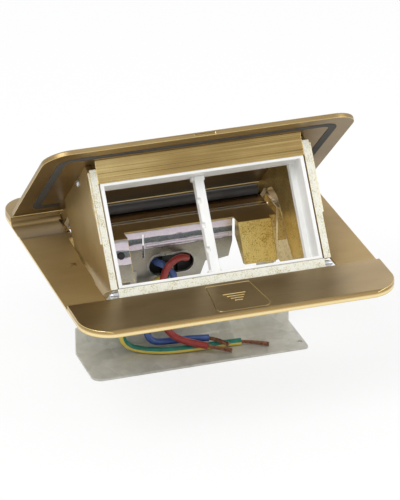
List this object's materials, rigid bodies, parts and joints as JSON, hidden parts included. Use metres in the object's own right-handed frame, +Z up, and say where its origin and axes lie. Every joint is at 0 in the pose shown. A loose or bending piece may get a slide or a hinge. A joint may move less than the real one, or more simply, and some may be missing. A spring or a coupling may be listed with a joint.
{
  "type": "pop-up floor socket",
  "caption": "Brass pop-up floor socket: a square flange with a hinged lid that lifts a framed two-module carrier, a flush release button, cable brackets and three lead ends.",
  "frame": {"origin": "centre of the flange outline, on its underside, which lies on the finished floor", "axes": "+X along the front bar, +Y from the release button to the hinge, +Z up out of the floor; the lid is stored open"},
  "size_m": [0.156, 0.154, 0.1296],
  "materials": {
    "brushed_brass": "antique brushed",
    "cast_brass": "rough cast",
    "white_moulding": "satin",
    "black_rubber": "matt",
    "grey_seal": "matt",
    "galvanised_sheet": "galvanised",
    "zinc_fastener": "bright zinc",
    "steel_pin": "ground",
    "black_moulding": "matt",
    "terminal_nylon": "matt",
    "red_insulation": "satin",
    "blue_insulation": "satin",
    "green_insulation": "satin",
    "copper_core": "bare strands"
  },
  "bodies": {
    "base": {"base_plate": "brushed_brass", "hinge_pin": "steel_pin", "hinge_cover": "black_rubber", "cable_bracket": "galvanised_sheet", "bottom_bracket": "galvanised_sheet", "bracket_screws": "zinc_fastener", "flange_screws": "zinc_fastener", "terminal_block": "terminal_nylon", "latch_housing": "black_moulding", "latch_spring": "steel_pin", "button_springs": "steel_pin", "lead_red": "red_insulation", "lead_blue": "blue_insulation", "lead_green": "green_insulation", "core_red": "copper_core", "core_blue": "copper_core", "core_green": "copper_core"},
    "carrier": {"lid_plate": "brushed_brass", "lid_seal": "grey_seal", "cheek_left": "cast_brass", "cheek_right": "cast_brass", "lid_rivets": "zinc_fastener", "bottom_rail": "cast_brass", "rail_pins": "zinc_fastener", "top_bar": "brushed_brass", "support_frame": "white_moulding", "centre_bar": "white_moulding", "lid_spring_left": "steel_pin", "lid_spring_right": "steel_pin"},
    "button": {"release_button": "brushed_brass"},
    "latch": {"latch_bolt": "steel_pin"}
  },
  "joints": [
    {"name": "lid_hinge", "type": "hinge", "parent": "base", "child": "carrier", "pos_m": [0, 0.0548, -0.0021], "axis": [1, 0, 0], "range_deg": [0, 42.2], "stiffness_Nm_per_rad": 0.25, "springref_deg": -103.13},
    {"name": "button_press", "type": "slide", "parent": "base", "child": "button", "axis": [0, 0, -1], "range_m": [0, 0.0014], "stiffness_N_per_m": 400, "springref_m": -0.0006, "deforming": ["button_springs"]},
    {"name": "latch_slide", "type": "slide", "parent": "base", "child": "latch", "axis": [0, -1, 0], "range_m": [0, 0.0014], "deforming": ["latch_spring"]}
  ],
  "couplings": [
    {"joint": "latch_slide", "follows": "button_press", "ratio": 1}
  ]
}
